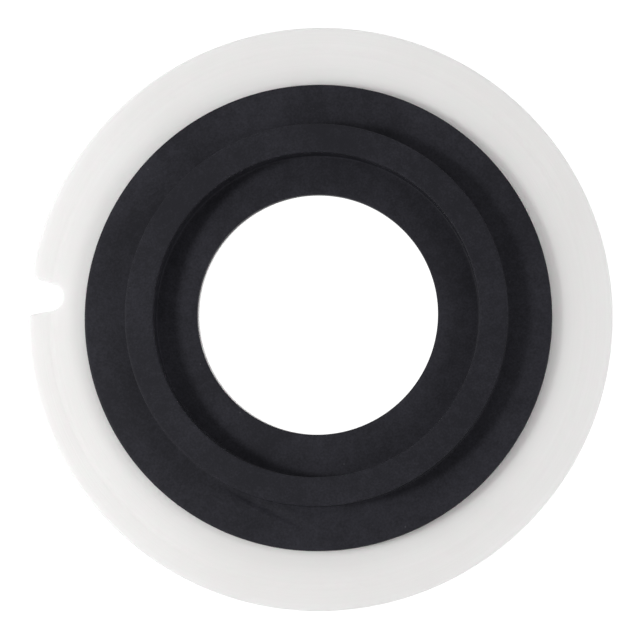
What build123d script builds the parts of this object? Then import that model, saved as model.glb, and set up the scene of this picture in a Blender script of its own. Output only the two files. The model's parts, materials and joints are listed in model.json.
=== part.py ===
from build123d import *
import math
import os

# Toilet flange: a notched plastic plate with a pipe neck, a stepped rubber gasket lying on the plate,
# and a finned rubber sleeve round the neck. Lengths are in millimetres.
#
# Origin: on the waste bore's axis, in the plane of the plate's underside, which lies on the finished
# floor. +Z points up towards the toilet, and the key notch is on -X.

# Plate
PLATE_R = 75.0
PLATE_T = 3.0
PLATE_EDGE_R = 0.6
BORE_R = 30.75

# Key notch in the plate's rim: a round bottom, flared walls and rounded mouth corners
NOTCH_R = 3.6
NOTCH_DEPTH = 8.65
NOTCH_FLARE = 14.0
NOTCH_WALL = 10.0
NOTCH_CORNER_FRONT_R = 1.8
NOTCH_CORNER_BACK_R = 2.8

# Neck under the plate, which stands in the waste pipe. Its end is a little wider than the seat that the
# sleeve sits in, so that the sleeve can't slide off
NECK_R = 48.0
NECK_WALL = 2.6
NECK_LENGTH = 33.0
NECK_LEAD_IN = 1.2
NECK_ROOT_R = 1.5
NECK_LIP_R = 0.5
SEAT_STEP = 0.5
SEAT_LENGTH = 25.5

# Bedding grooves for sealant in the plate's underside, as mid radii
BEDDING_RADII = (58.5, 62.5)
BEDDING_WIDTH = 1.6
BEDDING_DEPTH = 0.7

# Gasket: outer flange, raised ring, and the ledge that the toilet's outlet horn presses on
GASKET_R = 59.75
GASKET_T = 3.0
RING_R = 48.5
RING_BORE_R = 41.25
RING_RISE = 6.0
LEDGE_T = 2.4
GASKET_RIM_R = 0.5
GASKET_FOOT_R = 0.3
RING_EDGE_R = 0.4
RING_ROOT_R = 0.5
BORE_EDGE_R = 0.25

# Locating rib under the gasket, and the plate's groove that it drops into
RIB_MID_R = 54.0
RIB_WIDTH = 1.8
RIB_DEPTH = 0.9
RIB_SIDE_GAP = 0.3
RIB_END_GAP = 0.2

# Finned sleeve round the neck
SLEEVE_WALL = 2.2
SLEEVE_LENGTH = 25.0
SLEEVE_END_R = 0.6
COLLAR_R = 54.5
COLLAR_T = 1.5
COLLAR_EDGE_R = 0.4
FIN_TIP_R = 53.0
FIN_COUNT = 4
FIN_FIRST = 6.8
FIN_PITCH = 5.2
FIN_ROOT_T = 1.5
FIN_TIP_T = 0.7
FIN_RISE = 1.7

NECK_BORE_R = NECK_R - NECK_WALL
SEAT_R = NECK_R - SEAT_STEP
SLEEVE_R = SEAT_R + SLEEVE_WALL
GASKET_TOP = PLATE_T + GASKET_T
RING_TOP = GASKET_TOP + RING_RISE
LEDGE_TOP = PLATE_T + LEDGE_T
RADIUS_MATCH = 0.01


def circles_of(part, radius):
    """The part's circular edges of one radius, lowest first."""
    circles = part.edges().filter_by(GeomType.CIRCLE)
    return circles.filter_by(lambda edge: abs(edge.radius - radius) < RADIUS_MATCH).sort_by(Axis.Z)


def beyond(edges, radius):
    """The edges that start further than radius from the Z axis."""
    return edges.filter_by(lambda edge: math.hypot((edge @ 0).X, (edge @ 0).Y) > radius)


def ring_section(mid_radius, width, low, high):
    """A rectangle in the XZ section sketch, from low to high, centred on mid_radius."""
    with Locations((mid_radius, (low + high) / 2)):
        Rectangle(width, high - low)


# The plate and its neck are one moulding, turned about Z
with BuildPart() as flange_plate:
    with BuildSketch(Plane.XZ):
        with BuildLine():
            Polyline(
                (BORE_R, PLATE_T),
                (BORE_R, 0),
                (NECK_BORE_R, 0),
                (NECK_BORE_R, -NECK_LENGTH),
                (NECK_R - NECK_LEAD_IN, -NECK_LENGTH),
                (NECK_R, -NECK_LENGTH + 2 * NECK_LEAD_IN),
                (NECK_R, -SEAT_LENGTH),
                (SEAT_R, -SEAT_LENGTH),
                (SEAT_R, 0),
                (PLATE_R, 0),
                (PLATE_R, PLATE_T),
                close=True,
            )
        make_face()
    revolve(axis=Axis.Z)
    fillet(circles_of(flange_plate, NECK_BORE_R)[0], radius=NECK_LIP_R)
    fillet(circles_of(flange_plate, NECK_BORE_R)[-1], radius=NECK_ROOT_R)

    # Groove for the gasket's rib, and the bedding grooves underneath
    with BuildSketch(Plane.XZ):
        ring_section(RIB_MID_R, RIB_WIDTH + 2 * RIB_SIDE_GAP, PLATE_T - RIB_DEPTH - RIB_END_GAP, PLATE_T)
        for bedding_radius in BEDDING_RADII:
            ring_section(bedding_radius, BEDDING_WIDTH, 0, BEDDING_DEPTH)
    revolve(axis=Axis.Z, mode=Mode.SUBTRACT)

    # Key notch, cut through the rim
    with BuildSketch(Plane.XY):
        with BuildLine():
            notch_bottom = CenterArc(
                (-PLATE_R + NOTCH_DEPTH - NOTCH_R, 0), NOTCH_R, NOTCH_FLARE - 90, 180 - 2 * NOTCH_FLARE
            )
            back_wall = PolarLine(notch_bottom @ 1, NOTCH_WALL, 180 - NOTCH_FLARE)
            front_wall = PolarLine(notch_bottom @ 0, NOTCH_WALL, 180 + NOTCH_FLARE)
            Line(back_wall @ 1, front_wall @ 1)
        make_face()
    extrude(amount=PLATE_T, mode=Mode.SUBTRACT)
    mouth_corners = beyond(flange_plate.edges().filter_by(Axis.Z), PLATE_R - NOTCH_R).sort_by(Axis.Y)
    fillet(mouth_corners[0], radius=NOTCH_CORNER_FRONT_R)
    mouth_corners = beyond(flange_plate.edges().filter_by(Axis.Z), PLATE_R - NOTCH_R).sort_by(Axis.Y)
    fillet(mouth_corners[-1], radius=NOTCH_CORNER_BACK_R)

    # Rounded edges all round the rim and the notch
    for face_height in (0, PLATE_T):
        level_edges = flange_plate.edges().filter_by_position(Axis.Z, face_height, face_height)
        fillet(beyond(level_edges, PLATE_R - NOTCH_DEPTH - NOTCH_R / 2), radius=PLATE_EDGE_R)

# The gasket is one rubber moulding, turned about Z
with BuildPart() as seal_gasket:
    with BuildSketch(Plane.XZ):
        with BuildLine():
            Polyline(
                (BORE_R, PLATE_T),
                (GASKET_R, PLATE_T),
                (GASKET_R, GASKET_TOP),
                (RING_R, GASKET_TOP),
                (RING_R, RING_TOP),
                (RING_BORE_R, RING_TOP),
                (RING_BORE_R, LEDGE_TOP),
                (BORE_R, LEDGE_TOP),
                close=True,
            )
        make_face()
        ring_section(RIB_MID_R, RIB_WIDTH, PLATE_T - RIB_DEPTH, PLATE_T)
    revolve(axis=Axis.Z)
    fillet(circles_of(seal_gasket, GASKET_R)[0], radius=GASKET_FOOT_R)
    fillet(circles_of(seal_gasket, GASKET_R)[-1], radius=GASKET_RIM_R)
    for ring_radius in (RING_R, RING_BORE_R):
        fillet(circles_of(seal_gasket, ring_radius)[0], radius=RING_ROOT_R)
        fillet(circles_of(seal_gasket, ring_radius)[-1], radius=RING_EDGE_R)
    fillet(circles_of(seal_gasket, BORE_R)[-1], radius=BORE_EDGE_R)

# The sleeve grips the neck's seat. Its fins lean up, so that they trail as the neck goes down the pipe
with BuildPart() as pipe_seal:
    with BuildSketch(Plane.XZ):
        with BuildLine():
            Polyline(
                (SEAT_R, 0),
                (COLLAR_R, 0),
                (COLLAR_R, -COLLAR_T),
                (SLEEVE_R, -COLLAR_T),
                (SLEEVE_R, -SLEEVE_LENGTH),
                (SEAT_R, -SLEEVE_LENGTH),
                close=True,
            )
        make_face()
        for fin_index in range(FIN_COUNT):
            fin_root = -FIN_FIRST - fin_index * FIN_PITCH
            fin_tip = fin_root + FIN_RISE
            with BuildLine():
                Polyline(
                    (SEAT_R + SLEEVE_WALL / 2, fin_root - FIN_ROOT_T / 2),
                    (SLEEVE_R, fin_root - FIN_ROOT_T / 2),
                    (FIN_TIP_R - FIN_TIP_T / 2, fin_tip - FIN_TIP_T / 2),
                )
                ThreePointArc(
                    (FIN_TIP_R - FIN_TIP_T / 2, fin_tip - FIN_TIP_T / 2),
                    (FIN_TIP_R, fin_tip),
                    (FIN_TIP_R - FIN_TIP_T / 2, fin_tip + FIN_TIP_T / 2),
                )
                Polyline(
                    (FIN_TIP_R - FIN_TIP_T / 2, fin_tip + FIN_TIP_T / 2),
                    (SLEEVE_R, fin_root + FIN_ROOT_T / 2),
                    (SEAT_R + SLEEVE_WALL / 2, fin_root + FIN_ROOT_T / 2),
                    (SEAT_R + SLEEVE_WALL / 2, fin_root - FIN_ROOT_T / 2),
                )
            make_face()
    revolve(axis=Axis.Z)
    fillet(circles_of(pipe_seal, COLLAR_R), radius=COLLAR_EDGE_R)
    fillet(circles_of(pipe_seal, SLEEVE_R)[0], radius=SLEEVE_END_R)

os.makedirs("parts", exist_ok=True)
flange_plate.part.label = "flange_plate"
export_step(flange_plate.part, "parts/flange_plate.step")
seal_gasket.part.label = "seal_gasket"
export_step(seal_gasket.part, "parts/seal_gasket.step")
pipe_seal.part.label = "pipe_seal"
export_step(pipe_seal.part, "parts/pipe_seal.step")
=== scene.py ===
"""Looks for the toilet flange: a white plate with its neck, a black rubber gasket and a finned sleeve.

Sizes are in millimetres and turned into metres where a mesh is made. The object's own sizes come from the
frame: boxes of its nodes and radii of its mounts. +Z is up and the key notch is on -X.
"""
import json
import math

import bpy
import numpy as np
from mathutils import Matrix, Vector, noise


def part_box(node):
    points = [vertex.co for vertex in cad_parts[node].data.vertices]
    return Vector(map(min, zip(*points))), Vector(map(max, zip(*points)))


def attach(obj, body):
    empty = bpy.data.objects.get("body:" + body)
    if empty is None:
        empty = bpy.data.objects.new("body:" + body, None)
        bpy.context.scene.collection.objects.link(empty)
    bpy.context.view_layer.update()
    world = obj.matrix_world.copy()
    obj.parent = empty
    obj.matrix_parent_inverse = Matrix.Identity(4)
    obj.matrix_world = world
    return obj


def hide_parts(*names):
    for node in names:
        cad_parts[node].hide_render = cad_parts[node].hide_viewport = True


MM = 0.001

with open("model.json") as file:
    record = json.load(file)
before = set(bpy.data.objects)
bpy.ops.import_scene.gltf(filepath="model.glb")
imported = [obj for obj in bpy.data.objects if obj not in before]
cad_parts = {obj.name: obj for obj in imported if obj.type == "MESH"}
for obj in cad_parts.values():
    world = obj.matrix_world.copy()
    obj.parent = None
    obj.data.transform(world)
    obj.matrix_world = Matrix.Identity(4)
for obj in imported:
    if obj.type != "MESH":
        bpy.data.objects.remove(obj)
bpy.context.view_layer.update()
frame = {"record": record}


def box_mm(node):
    """(lowest, highest) corner of a CAD node, in millimetres."""
    low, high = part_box(node)
    return low / MM, high / MM


def mount_radius(name):
    """A round mount's wall radius, in millimetres."""
    found = [mount for mount in frame["record"]["mounts"] if mount["name"] == name]
    return found[0]["dims"]["r_mm"]


# ---------------------------------------------------------------- sizes, in millimetres

plate_low, plate_high = box_mm("flange_plate")
_, gasket_high = box_mm("seal_gasket")
sleeve_low, sleeve_high = box_mm("pipe_seal")

BORE_R = mount_radius("waste_bore")
RING_BORE_R = mount_radius("horn_seat")
NECK_R = mount_radius("neck_end")
PLATE_R = plate_high.y
PLATE_TOP = plate_high.z
NECK_END = plate_low.z
GASKET_R = gasket_high.y
RING_TOP = gasket_high.z
COLLAR_R = sleeve_high.y
SLEEVE_END = sleeve_low.z

PLATE_EDGE_R = 0.6
BORE_EDGE_R = 0.2
BORE_DRAFT = 0.4
NECK_WALL = 2.6
NECK_BORE_R = NECK_R - NECK_WALL
NECK_LEAD_IN = 1.2
SEAT_STEP = 0.5
SEAT_R = NECK_R - SEAT_STEP
SEAT_LENGTH = 25.5
NECK_ROOT_R = 1.5
NECK_LIP_R = 0.5
# Inner radius, outer radius and depth
RIB_GROOVE = (52.8, 55.2, 1.1)
BEDDING_RADII = (58.5, 62.5)
BEDDING_WIDTH = 1.6
BEDDING_DEPTH = 0.7
# Outside this radius, the plate's loops bend from circles to the notched rim
PLAIN_R = 65.0

NOTCH_R = 3.6
NOTCH_DEPTH = 8.65
NOTCH_FLARE = math.radians(14)
NOTCH_CORNER_FRONT_R = 1.8
NOTCH_CORNER_BACK_R = 2.8

GASKET_T = 3.0
LEDGE_T = 2.4
GASKET_TOP = PLATE_TOP + GASKET_T
LEDGE_TOP = PLATE_TOP + LEDGE_T
RING_R = 48.5
# Inner radius, outer radius and depth
RIB = (53.1, 54.9, 0.9)

SLEEVE_WALL = 2.2
SLEEVE_R = SEAT_R + SLEEVE_WALL
COLLAR_T = 1.5
FIN_TIP_R = 53.0
FIN_COUNT = 4
FIN_FIRST = 6.8
FIN_PITCH = 5.2
FIN_RISE = 1.7
FIN_ROOT_HALF = 0.75
FIN_TIP_HALF = 0.35

# ---------------------------------------------------------------- sections and meshes

# Points round each turned loop and round the plate's rim, and pieces in each rounded corner
SEGMENTS = 600
CORNER_STEPS = 4


def rounded(corners):
    """A closed section through (radius, height, rounding) corners, each rounding an arc."""
    section = []
    for index, (radius, height, rounding) in enumerate(corners):
        here = Vector((radius, height))
        if rounding == 0:
            section.append(here)
            continue
        before = Vector(corners[index - 1][:2]) - here
        after = Vector(corners[(index + 1) % len(corners)][:2]) - here
        before.normalize()
        after.normalize()
        half_angle = before.angle(after) / 2
        centre = here + (before + after).normalized() * (rounding / math.sin(half_angle))
        reach = rounding / math.tan(half_angle)
        first = here + before * reach - centre
        last = here + after * reach - centre
        sweep = first.angle_signed(last)
        for step in range(CORNER_STEPS + 1):
            turn = -sweep * step / CORNER_STEPS
            section.append(
                centre
                + Vector(
                    (
                        first.x * math.cos(turn) - first.y * math.sin(turn),
                        first.x * math.sin(turn) + first.y * math.cos(turn),
                    )
                )
            )
    return section


def divided(section, longest, seen):
    """The closed section, with each run whose middle passes seen cut into pieces of longest at most."""
    points = []
    for index, here in enumerate(section):
        after = section[(index + 1) % len(section)]
        count = 1
        if seen((here + after) / 2):
            count = max(1, math.ceil((after - here).length / longest))
        points += [here.lerp(after, step / count) for step in range(count)]
    return points


def looped_mesh(name, loops):
    """A closed mesh in which quads join each loop of points, in millimetres, to the next, last to first."""
    loop_count, point_count = loops.shape[:2]
    index = np.arange(loop_count * point_count).reshape(loop_count, point_count)
    across = np.roll(index, -1, axis=0)
    quads = np.stack([index, np.roll(index, -1, axis=1), np.roll(across, -1, axis=1), across], axis=-1)
    mesh = bpy.data.meshes.new(name)
    mesh.from_pydata((loops.reshape(-1, 3) * MM).tolist(), [], quads.reshape(-1, 4).tolist())
    mesh.shade_smooth()
    piece = bpy.data.objects.new(name, mesh)
    bpy.context.scene.collection.objects.link(piece)
    return piece


def turned(name, section, shift):
    """The section turned about Z. shift(radius, height, turn) gives how far a point moves out and up."""
    turns = np.linspace(0, 2 * math.pi, SEGMENTS, endpoint=False)
    loops = np.zeros((len(section), SEGMENTS, 3))
    for row, (radius, height) in enumerate(section):
        moved = np.array([shift(radius, height, turn) for turn in turns])
        reach = radius + moved[:, 0]
        loops[row] = np.stack([reach * np.cos(turns), reach * np.sin(turns), height + moved[:, 1]], axis=-1)
    return looped_mesh(name, loops)


def dip(offset, half_width):
    """A smooth bump: 1 at no offset, 0 from half_width on."""
    share = min(1.0, abs(offset) / half_width)
    return (1 - share * share) ** 2


# ---------------------------------------------------------------- plate and neck

# How finely the plate is drawn: lengths in the notch and in straight runs, and counts elsewhere
NOTCH_SPACING = 0.25
RUN_SPACING = 8.0
NOTCH_WALL_STEPS = 6
RIM_ARC_POINTS = 6
TOP_FAN = 15
BOTTOM_FAN = (0.75, 0.5, 0.25)

# The mould's witness ring in the top, and a bore that lies a little off the axis
WITNESS_R = 69.3
WITNESS_HALF = 1.1
WITNESS_DEPTH = 0.08
PLATE_BORE_DRIFT = (0.14, 0.52)
DRIFT_SPAN = 8.0
TOP_TOLERANCE = 0.01


def notch_corner(side, corner_r):
    """Where a notch wall's mouth corner lies: its arc's centre and its tangent points on wall and rim."""
    bottom_x = -PLATE_R + NOTCH_DEPTH - NOTCH_R
    across = Vector((math.sin(NOTCH_FLARE), side * math.cos(NOTCH_FLARE)))
    along = Vector((-math.cos(NOTCH_FLARE), side * math.sin(NOTCH_FLARE)))
    start = Vector((bottom_x, 0)) + across * (NOTCH_R + corner_r)
    reach = PLATE_R - corner_r
    half = start.dot(along)
    distance = -half + math.sqrt(half * half - start.length_squared + reach * reach)
    centre = start + along * distance
    return centre, centre - across * corner_r, centre * (PLATE_R / reach)


def arc_points(centre, start, end, spacing):
    """Points along the shorter arc about centre from start to end, without the end."""
    first = start - centre
    sweep = -first.angle_signed(end - centre)
    count = max(3, math.ceil(abs(sweep) * first.length / spacing))
    points = []
    for step in range(count):
        turn = sweep * step / count
        cos, sin = math.cos(turn), math.sin(turn)
        points.append(centre + Vector((first.x * cos - first.y * sin, first.x * sin + first.y * cos)))
    return points


def plate_outline():
    """The plate's rim with its notch, anticlockwise, as points and outward normals."""
    back_centre, back_wall, back_rim = notch_corner(1, NOTCH_CORNER_BACK_R)
    front_centre, front_wall, front_rim = notch_corner(-1, NOTCH_CORNER_FRONT_R)
    bottom = Vector((-PLATE_R + NOTCH_DEPTH - NOTCH_R, 0))
    across = Vector((math.sin(NOTCH_FLARE), math.cos(NOTCH_FLARE))) * NOTCH_R
    back_foot = bottom + across
    front_foot = bottom + Vector((across.x, -across.y))
    rim_start = math.atan2(front_rim.y, front_rim.x)
    rim_end = math.atan2(back_rim.y, back_rim.x)
    points = []
    for turn in np.linspace(rim_start, rim_end, SEGMENTS, endpoint=False):
        points.append(Vector((math.cos(turn), math.sin(turn))) * PLATE_R)
    wall_shares = [step / NOTCH_WALL_STEPS for step in range(NOTCH_WALL_STEPS)]
    points += arc_points(back_centre, back_rim, back_wall, NOTCH_SPACING)
    points += [back_wall.lerp(back_foot, share) for share in wall_shares]
    notch_end = bottom + Vector((NOTCH_R, 0))
    points += arc_points(bottom, back_foot, notch_end, NOTCH_SPACING)
    points += arc_points(bottom, notch_end, front_foot, NOTCH_SPACING)
    points += [front_foot.lerp(front_wall, share) for share in wall_shares]
    points += arc_points(front_centre, front_wall, front_rim, NOTCH_SPACING)
    outline = np.array([tuple(point) for point in points])
    run = np.roll(outline, -1, axis=0) - np.roll(outline, 1, axis=0)
    run /= np.linalg.norm(run, axis=1, keepdims=True)
    return outline, np.stack([run[:, 1], -run[:, 0]], axis=-1)


def plate_loops():
    """The plate and neck as loops: out over the top, round the rim, in underneath, and round the neck."""
    outline, normals = plate_outline()
    turns = np.arctan2(outline[:, 1], outline[:, 0])
    circle = np.stack([np.cos(turns), np.sin(turns)], axis=-1)

    def level(ring, height):
        return np.column_stack([ring, np.full(len(ring), height)])

    def fan(share, height):
        """A loop between the plain inner circle and the rim."""
        inner = circle * PLAIN_R
        outer = outline - normals * PLATE_EDGE_R
        return level(inner + (outer - inner) * share, height)

    groove_in, groove_out, groove_depth = RIB_GROOVE
    top = [(BORE_R, PLATE_TOP, BORE_EDGE_R), (groove_in, PLATE_TOP, 0.2)]
    top += [(groove_in, PLATE_TOP - groove_depth, 0.2), (groove_out, PLATE_TOP - groove_depth, 0.2)]
    top += [(groove_out, PLATE_TOP, 0.2), (PLAIN_R, PLATE_TOP, 0)]
    under = [(PLAIN_R, 0, 0)]
    for radius in reversed(BEDDING_RADII):
        outer, inner = radius + BEDDING_WIDTH / 2, radius - BEDDING_WIDTH / 2
        under += [(outer, 0, 0.15), (outer, BEDDING_DEPTH, 0.3)]
        under += [(inner, BEDDING_DEPTH, 0.3), (inner, 0, 0.15)]
    under += [(SEAT_R, 0, 0.3), (SEAT_R, -SEAT_LENGTH, 0.15), (NECK_R, -SEAT_LENGTH, 0.2)]
    under += [(NECK_R, NECK_END + 2 * NECK_LEAD_IN, 0.8)]
    under += [(NECK_R - NECK_LEAD_IN, NECK_END, 0.4), (NECK_BORE_R, NECK_END, NECK_LIP_R)]
    under += [(NECK_BORE_R, 0, NECK_ROOT_R), (BORE_R + BORE_DRAFT, 0, BORE_EDGE_R)]
    section = rounded(top + under)
    rim_row = next(row for row, point in enumerate(section) if point.x == PLAIN_R and point.y == PLATE_TOP)
    loops = []
    for row, point in enumerate(section):
        after = section[(row + 1) % len(section)]
        if row == rim_row:
            loops += [fan(share, PLATE_TOP) for share in np.linspace(0, 1, TOP_FAN)]
            for angle in np.linspace(0, math.pi / 2, RIM_ARC_POINTS)[1:]:
                inset = PLATE_EDGE_R * (1 - math.sin(angle))
                drop = PLATE_EDGE_R * (1 - math.cos(angle))
                loops.append(level(outline - normals * inset, PLATE_TOP - drop))
            for angle in np.linspace(0, math.pi / 2, RIM_ARC_POINTS):
                inset = PLATE_EDGE_R * (1 - math.cos(angle))
                rise = PLATE_EDGE_R * (1 - math.sin(angle))
                loops.append(level(outline - normals * inset, rise))
            loops += [fan(share, 0) for share in BOTTOM_FAN]
            continue
        count = max(1, math.ceil((after - point).length / RUN_SPACING))
        for step in range(count):
            spot = point.lerp(after, step / count)
            loops.append(level(circle * spot.x, spot.y))
    return np.array(loops)


def build_plate():
    """The plate and neck, with the bore drifted off the axis and the witness ring pressed into the top."""
    loops = plate_loops()
    reach = np.hypot(loops[..., 0], loops[..., 1])
    drift = np.clip(1 - (reach - BORE_R) / DRIFT_SPAN, 0, 1)
    loops[..., :2] += drift[..., np.newaxis] * PLATE_BORE_DRIFT
    on_top = loops[..., 2] > PLATE_TOP - TOP_TOLERANCE
    share = np.clip(np.abs(reach - WITNESS_R) / WITNESS_HALF, 0, 1)
    loops[..., 2] -= on_top * WITNESS_DEPTH * (1 - share**2) ** 2
    return looped_mesh("flange_plate_moulding", loops)


# ---------------------------------------------------------------- gasket

GASKET_SPACING = 0.55

# How far the gasket lies off the axis, and how far its bore lies off its own middle
GASKET_PLAY = Vector((-0.12, -0.16))
BORE_DRIFT = Vector((-0.05, 0.52))

FLASH_HEIGHT = 0.12
FLASH_HALF = 0.3
FLASH_GRAIN = 0.35
WAVE_HEIGHT = 0.03
WAVE_GRAIN = 0.09

# A fold in the flange, steep on its rim side and gentle on its ring side
CREASE_START = Vector((-24.4, -43.8))
CREASE_END = Vector((5.7, -56.1))
CREASE_FRONT = 0.7
CREASE_BACK = 2.2
CREASE_DEPTH = 0.28


def gasket_shift(radius, height, turn):
    """Small faults of a soft moulding: play, trimming flash, a crease, an off-centre bore and waviness."""
    facing = Vector((math.cos(turn), math.sin(turn)))
    across, up = facing * radius
    out, lift = facing.dot(GASKET_PLAY), 0.0
    if radius < RING_BORE_R - 0.6:
        out += facing.dot(BORE_DRIFT) * (RING_BORE_R - radius) / (RING_BORE_R - BORE_R)
    if radius > GASKET_R - 0.2:
        ragged = 0.6 + 0.4 * noise.noise(Vector((across, up, 0)) * FLASH_GRAIN)
        out += FLASH_HEIGHT * (ragged * dip(height - (PLATE_TOP + GASKET_TOP) / 2, FLASH_HALF) - 0.5)
    if height > PLATE_TOP + 0.5:
        lift += WAVE_HEIGHT * noise.noise(Vector((across, up, 7.0)) * WAVE_GRAIN)
    if RING_R + 0.6 < radius and height > GASKET_TOP - 0.3:
        line = CREASE_END - CREASE_START
        spot = Vector((across, up)) - CREASE_START
        along = spot.dot(line) / line.length_squared
        back = line.cross(spot) / line.length
        half_width = CREASE_BACK if back > 0 else CREASE_FRONT
        lift -= CREASE_DEPTH * dip(back, half_width) * dip(along - 0.5, 0.5)
    return out, lift


def build_gasket():
    """The gasket, with its top divided finely enough for its small faults."""
    rib_in, rib_out, rib_depth = RIB
    corners = [
        (BORE_R, PLATE_TOP, 0.2),
        (rib_in, PLATE_TOP, 0.2),
        (rib_in, PLATE_TOP - rib_depth, 0.3),
        (rib_out, PLATE_TOP - rib_depth, 0.3),
        (rib_out, PLATE_TOP, 0.2),
        (GASKET_R, PLATE_TOP, 0.3),
        (GASKET_R, GASKET_TOP, 0.5),
        (RING_R, GASKET_TOP, 0.25),
        (RING_R, RING_TOP, 0.2),
        (RING_BORE_R, RING_TOP, 0.3),
        (RING_BORE_R, LEDGE_TOP, 0.25),
        (BORE_R, LEDGE_TOP, 0.25),
    ]
    section = divided(rounded(corners), GASKET_SPACING, lambda middle: middle.y > PLATE_TOP)
    return turned("seal_gasket_rubber", section, gasket_shift)


# ---------------------------------------------------------------- finned sleeve

SLEEVE_SPACING = 1.2
PARTING_HEIGHT = 0.14
PARTING_HALF = 0.8
FIN_WAVE = 0.28

# Nearer the neck than this, the sleeve fits it closely and nothing is shifted
CLOSE_FIT = 0.5


def sleeve_shift(radius, height, turn):
    """Parting lines on both sides of the mould, and fins whose thin tips wave a little."""
    out, lift = 0.0, 0.0
    if radius > SEAT_R + CLOSE_FIT:
        out += PARTING_HEIGHT * dip(math.cos(turn) * radius, PARTING_HALF) - PARTING_HEIGHT
        tip = max(0.0, (radius - SLEEVE_R) / (FIN_TIP_R - SLEEVE_R))
        if height < -COLLAR_T - 0.5:
            spot = Vector((math.cos(turn), math.sin(turn), height * 0.13)) * 2.2
            lift += FIN_WAVE * tip * tip * noise.noise(spot)
    return out, lift


def build_sleeve():
    """The sleeve with its collar and fins, from the collar down."""
    corners = [(SEAT_R, 0, 0.2), (COLLAR_R, 0, 0.4)]
    corners += [(COLLAR_R, -COLLAR_T, 0.4), (SLEEVE_R, -COLLAR_T, 0.3)]
    for fin in range(FIN_COUNT):
        root = -FIN_FIRST - fin * FIN_PITCH
        tip = root + FIN_RISE
        corners += [
            (SLEEVE_R, root + FIN_ROOT_HALF, 0.3),
            (FIN_TIP_R, tip + FIN_TIP_HALF, 0.25),
            (FIN_TIP_R, tip - FIN_TIP_HALF, 0.25),
            (SLEEVE_R, root - FIN_ROOT_HALF, 0.3),
        ]
    corners += [(SLEEVE_R, SLEEVE_END, 0.6), (SEAT_R, SLEEVE_END, 0.2)]
    corners.reverse()
    section = divided(rounded(corners), SLEEVE_SPACING, lambda middle: middle.x > SEAT_R + CLOSE_FIT)
    return turned("pipe_seal_rubber", section, sleeve_shift)


# ---------------------------------------------------------------- materials

# Numbers of the mix node's colour sockets
MIX_FACTOR, MIX_A, MIX_B, MIX_COLOUR = 0, 6, 7, 2


def add(tree, kind, inputs=None, **settings):
    """A shader node; inputs maps an input's name or number to a value or to another node's output."""
    made = tree.nodes.new(kind)
    for name, value in settings.items():
        setattr(made, name, value)
    for key, value in (inputs or {}).items():
        if isinstance(value, bpy.types.NodeSocket):
            tree.links.new(value, made.inputs[key])
        else:
            made.inputs[key].default_value = value
    return made


def new_material(name):
    """A material with its nodes cleared, its tree, and the object's own coordinates, in metres."""
    material = bpy.data.materials.new(name)
    material.use_nodes = True
    tree = material.node_tree
    tree.nodes.clear()
    coords = add(tree, "ShaderNodeTexCoord").outputs["Object"]
    return material, tree, coords


def speckle(tree, coords, scale, detail, roughness):
    """A noise value from 0 to 1."""
    inputs = {"Vector": coords, "Scale": scale, "Detail": detail, "Roughness": roughness}
    return add(tree, "ShaderNodeTexNoise", inputs).outputs["Fac"]


def mapped(tree, value, low, high, to_low=0.0, to_high=1.0):
    """value moved from low..high to to_low..to_high, held at the ends."""
    inputs = {"Value": value, "From Min": low, "From Max": high, "To Min": to_low, "To Max": to_high}
    return add(tree, "ShaderNodeMapRange", inputs).outputs["Result"]


def math_node(tree, operation, first, second):
    """One arithmetic step on two values."""
    return add(tree, "ShaderNodeMath", {0: first, 1: second}, operation=operation).outputs[0]


def mixed(tree, factor, first, second):
    """first where factor is 0, second where it is 1."""
    inputs = {MIX_FACTOR: factor, MIX_A: first, MIX_B: second}
    return add(tree, "ShaderNodeMix", inputs, data_type="RGBA").outputs[MIX_COLOUR]


def bumped(tree, heights):
    """One normal from (height value, depth in metres) layers."""
    normal = None
    for height, depth in heights:
        inputs = {"Height": height, "Distance": depth, "Strength": 1.0}
        if normal is not None:
            inputs["Normal"] = normal
        normal = add(tree, "ShaderNodeBump", inputs).outputs["Normal"]
    return normal


def axis_distance(tree, coords):
    """Distance from the Z axis, in metres."""
    parts = add(tree, "ShaderNodeSeparateXYZ", {"Vector": coords}).outputs
    flat = add(tree, "ShaderNodeCombineXYZ", {"X": parts["X"], "Y": parts["Y"], "Z": 0.0}).outputs["Vector"]
    return add(tree, "ShaderNodeVectorMath", {0: flat}, operation="LENGTH").outputs["Value"]


def shaded(tree, inputs):
    """The surface shader and the material output."""
    shader = add(tree, "ShaderNodeBsdfPrincipled", inputs)
    add(tree, "ShaderNodeOutputMaterial", {"Surface": shader.outputs["BSDF"]})


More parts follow.
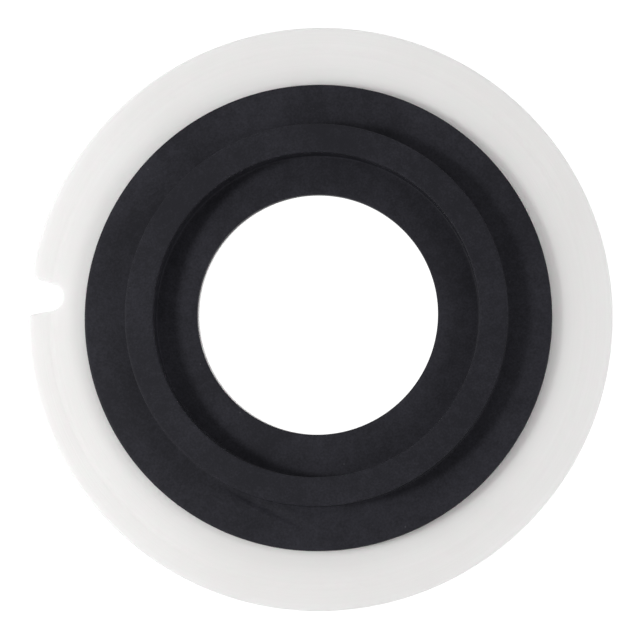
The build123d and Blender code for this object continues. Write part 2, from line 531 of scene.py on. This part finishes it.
def rubber(name, dark, bloom, crest):
    """Matt black moulded rubber: dusty bloom in patches, fine grain and specks.

    From crest, a height in metres, upwards the colour is painted darker: painted shade on the top.
    """
    material, tree, coords = new_material(name)
    patches = speckle(tree, coords, 55.0, 5.0, 0.6)
    freckles = speckle(tree, coords, 420.0, 3.0, 0.6)
    grain = speckle(tree, coords, 1900.0, 2.0, 0.6)
    wide = math_node(tree, "MULTIPLY", patches, 0.6)
    small = math_node(tree, "MULTIPLY", freckles, 0.4)
    cloud = math_node(tree, "ADD", wide, small)
    height = add(tree, "ShaderNodeSeparateXYZ", {"Vector": coords}).outputs["Z"]
    # painted shade: from crest upwards the colour is pulled towards the dark tone, darkening the top; the
    # dust mix below carries it along with the real bloom and grain
    top_shade = mapped(tree, height, crest - 0.0006, crest, 0.0, 0.16)
    dust_and_top_shade = math_node(tree, "SUBTRACT", mapped(tree, cloud, 0.38, 0.64, 0.0, 0.6), top_shade)
    dust_and_top_shade = math_node(tree, "ADD", dust_and_top_shade, mapped(tree, grain, 0.3, 0.7, -0.3, 0.3))
    colour = mixed(tree, dust_and_top_shade, dark, bloom)
    cells = add(tree, "ShaderNodeTexVoronoi", {"Vector": coords, "Scale": 150.0, "Randomness": 1.0}).outputs
    speck = mapped(tree, cells["Distance"], 0.04, 0.02)
    colour = mixed(tree, math_node(tree, "MULTIPLY", speck, 0.3), colour, (0.12, 0.12, 0.13, 1.0))
    roughness = mapped(tree, cloud, 0.35, 0.65, 0.52, 0.64)
    normal = bumped(tree, [(patches, 0.00003), (freckles, 0.000008), (grain, 0.000006)])
    shaded(
        tree,
        {"Base Color": colour, "Roughness": roughness, "Specular IOR Level": 0.18, "Normal": normal},
    )
    return material


def white_plastic(name):
    """Off-white moulded plastic that lets a little light through, with faint rings from the mould."""
    material, tree, coords = new_material(name)
    clouds = speckle(tree, coords, 22.0, 3.0, 0.5)
    fine = speckle(tree, coords, 700.0, 3.0, 0.6)
    distance = axis_distance(tree, coords)
    rings = add(
        tree,
        "ShaderNodeTexNoise",
        {"W": math_node(tree, "MULTIPLY", distance, 900.0), "Scale": 1.0, "Detail": 3.0, "Roughness": 0.6},
        noise_dimensions="1D",
    ).outputs["Fac"]
    cloudy = mapped(tree, clouds, 0.35, 0.65)
    ringed = mapped(tree, rings, 0.35, 0.65, 0.0, 0.25)
    colour = mixed(tree, cloudy, (0.835, 0.833, 0.822, 1.0), (0.862, 0.861, 0.852, 1.0))
    colour = mixed(tree, ringed, colour, (0.807, 0.803, 0.793, 1.0))
    roughness = mapped(tree, fine, 0.3, 0.7, 0.42, 0.56)
    normal = bumped(tree, [(rings, 0.00003), (fine, 0.00001), (clouds, 0.00008)])
    shaded(
        tree,
        {
            "Base Color": colour,
            "Roughness": roughness,
            "Specular IOR Level": 0.4,
            "Subsurface Weight": 1.0,
            "Subsurface Radius": (1.0, 0.9, 0.95),
            "Subsurface Scale": 0.004,
            "Normal": normal,
        },
    )
    return material


def floor_material():
    """A pale floor that glows by itself, like a light table, so that shadows don't show on it."""
    material, tree, coords = new_material("pale_floor")
    shade = mapped(tree, speckle(tree, coords, 3.0, 2.0, 0.55), 0.3, 0.7, 0.10, 0.14)
    shaded(
        tree,
        {
            "Base Color": shade,
            "Roughness": 0.9,
            "Emission Color": (1, 1, 1, 1),
            "Emission Strength": 1.0,
        },
    )
    return material


# ---------------------------------------------------------------- floor, lights and camera

# Half the floor's side, in metres
FLOOR_REACH = 1.5
ROOM_STRENGTH = 0.19


def direction(azimuth, elevation):
    """A unit vector: azimuth is anticlockwise from +X, both angles in degrees."""
    turn, rise = math.radians(azimuth), math.radians(elevation)
    return Vector((math.cos(turn) * math.cos(rise), math.sin(turn) * math.cos(rise), math.sin(rise)))


def make_floor():
    """A square floor under the neck's end."""
    mesh = bpy.data.meshes.new("floor")
    corners = [(-1, -1), (1, -1), (1, 1), (-1, 1)]
    points = [(FLOOR_REACH * across, FLOOR_REACH * up, NECK_END * MM) for across, up in corners]
    mesh.from_pydata(points, [], [(0, 1, 2, 3)])
    mesh.materials.append(floor_material())
    floor = bpy.data.objects.new("floor", mesh)
    bpy.context.scene.collection.objects.link(floor)


def softbox(name, azimuth, elevation, distance, size, strength):
    """A square area light that faces the origin; distance and size are in metres.

    A white card held square to it at the origin shines with this strength.
    """
    data = bpy.data.lights.new(name, "AREA")
    data.size = size
    data.energy = strength * (math.pi * distance) ** 2
    lamp = bpy.data.objects.new(name, data)
    back = direction(azimuth, elevation)
    lamp.location = back * distance
    lamp.rotation_mode = "QUATERNION"
    lamp.rotation_quaternion = back.to_track_quat("Z", "Y")
    lamp.visible_camera = False
    bpy.context.scene.collection.objects.link(lamp)


def make_lights():
    """Soft studio light, stronger from the left, in a pale room."""
    softbox("near_left_softbox", 192, 36, 0.30, 0.10, 0.19)
    softbox("left_softbox", 192, 47, 0.95, 0.18, 0.42)
    softbox("right_softbox", 0, 38, 0.95, 0.25, 0.17)
    softbox("back_softbox", 90, 30, 0.90, 0.40, 0.18)
    softbox("front_softbox", 315, 30, 0.90, 0.40, 0.19)
    world = bpy.data.worlds.new("soft_room")
    world.use_nodes = True
    background = world.node_tree.nodes["Background"].inputs
    background["Color"].default_value = (1, 1, 1, 1)
    background["Strength"].default_value = ROOM_STRENGTH
    bpy.context.scene.world = world


# Lengths in metres and angles in degrees; the field width is what the image spans at the origin
CAMERA_DISTANCE = 0.700
CAMERA_AZIMUTH = -52.4
CAMERA_TILT = 6.46
FIELD_WIDTH = 0.16440
ROLL = 4.4
AIM_RIGHT = 0.00025
AIM_UP = -0.00065
SENSOR_MM = 36.0


def make_camera():
    """Nearly straight above, a little to the front right, rolled so that the notch is left of centre."""
    data = bpy.data.cameras.new("camera")
    data.sensor_width = SENSOR_MM
    data.lens = SENSOR_MM * CAMERA_DISTANCE / FIELD_WIDTH
    camera = bpy.data.objects.new("camera", data)
    right, up = direction(ROLL, 0), direction(ROLL + 90, 0)
    position = direction(CAMERA_AZIMUTH, 90 - CAMERA_TILT) * CAMERA_DISTANCE
    aim = right * AIM_RIGHT + up * AIM_UP
    back = (position - aim).normalized()
    side = up.cross(back).normalized()
    top = back.cross(side)
    camera.matrix_world = Matrix(
        (
            (side.x, top.x, back.x, position.x),
            (side.y, top.y, back.y, position.y),
            (side.z, top.z, back.z, position.z),
            (0, 0, 0, 1),
        )
    )
    bpy.context.scene.collection.objects.link(camera)
    bpy.context.scene.camera = camera


# ---------------------------------------------------------------- assembly


def place(piece, body, node, material):
    """Gives a piece its material and material slot, ties it to its body and hides the CAD node it stands
    for.
    """
    piece.data.materials.append(material)
    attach(piece, body)
    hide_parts(node)


bpy.context.scene.view_settings.view_transform = "Standard"
make_camera()
make_lights()
make_floor()

gasket_rubber = rubber(
    "gasket_rubber",
    dark=(0.0150, 0.0148, 0.0196, 1.0),
    bloom=(0.0325, 0.0320, 0.0415, 1.0),
    crest=RING_TOP * MM,
)
sleeve_rubber = rubber(
    "sleeve_rubber",
    dark=(0.0135, 0.0134, 0.0172, 1.0),
    bloom=(0.0290, 0.0288, 0.0360, 1.0),
    crest=0.0,
)
place(build_plate(), "flange", "flange_plate", white_plastic("white_plastic"))
place(build_gasket(), "gasket", "seal_gasket", gasket_rubber)
place(build_sleeve(), "flange", "pipe_seal", sleeve_rubber)
